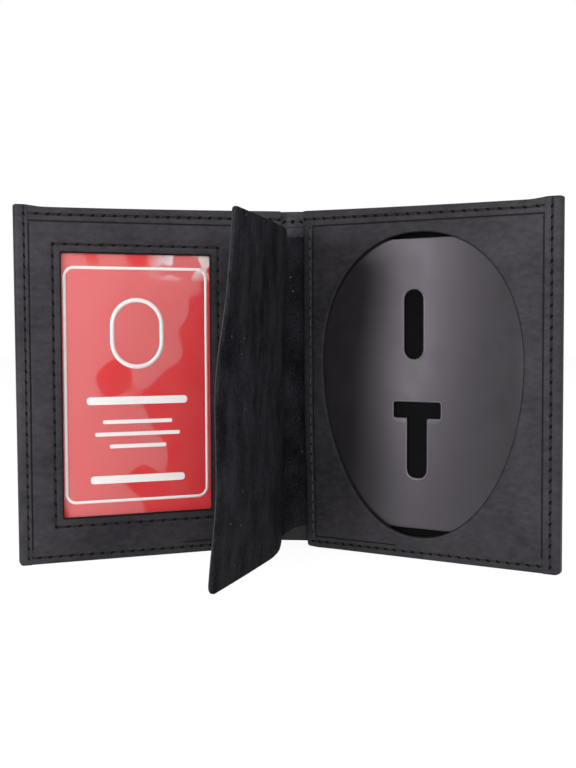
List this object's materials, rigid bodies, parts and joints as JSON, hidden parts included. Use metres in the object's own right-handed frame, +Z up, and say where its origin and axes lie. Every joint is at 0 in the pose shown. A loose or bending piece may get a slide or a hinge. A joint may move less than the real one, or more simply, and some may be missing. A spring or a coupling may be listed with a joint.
{
  "type": "id badge wallet",
  "caption": "Upright bifold leather badge wallet with a clear card window, an oval badge recess over a slotted plate, a standing flap and a bill compartment.",
  "frame": {"origin": "on the table, in the middle of the divider strip between the two fold axes", "axes": "+X across the wallet towards the badge half, +Y towards its back, +Z up"},
  "size_m": [0.1642, 0.0795, 0.1086],
  "materials": {
    "grain_leather": "fine pebbled grain, satin",
    "edge_leather": "turned edge, satin",
    "suede": "napped flesh side",
    "plate_board": "smooth coated board",
    "lining": "woven pocket cloth",
    "window_film": "clear soft vinyl",
    "card": "printed card"
  },
  "bodies": {
    "spine": {"spine_divider": "grain_leather", "spine_cover": "grain_leather", "flap_tab": "suede"},
    "id_half": {"id_cover": "grain_leather", "id_divider": "grain_leather", "id_side_binding": "edge_leather", "id_top_binding": "edge_leather", "id_panel": "grain_leather", "id_window_film": "window_film", "id_card_pocket": "lining"},
    "card": {"id_card": "card"},
    "badge_half": {"badge_cover": "grain_leather", "badge_divider": "grain_leather", "badge_side_binding": "edge_leather", "badge_top_binding": "edge_leather", "badge_panel": "grain_leather", "badge_plate": "plate_board", "flap_seam_margin": "suede"},
    "flap": {"badge_flap": "suede"}
  },
  "joints": [
    {"name": "id_fold", "type": "hinge", "parent": "spine", "child": "id_half", "pos_m": [-0.00385, -0.001, 0.054], "axis": [0, 0, 1], "range_deg": [-27.1, 62.9], "deforming": ["spine_cover"]},
    {"name": "badge_fold", "type": "hinge", "parent": "spine", "child": "badge_half", "pos_m": [0.00385, -0.001, 0.054], "axis": [0, 0, -1], "range_deg": [-27.1, 62.9]},
    {"name": "flap_swing", "type": "hinge", "parent": "spine", "child": "flap", "pos_m": [-0.0003, -0.00125, 0.054], "axis": [0, 0, 1], "range_deg": [-3.8, 8.7]},
    {"name": "card_slide", "type": "slide", "parent": "id_half", "child": "card", "axis": [0, 0, 1], "range_m": [0, 0.098]}
  ],
  "couplings": [
    {"joint": "badge_fold", "follows": "id_fold", "ratio": 1},
    {"joint": "flap_swing", "follows": "id_fold", "ratio": 0.13752}
  ]
}
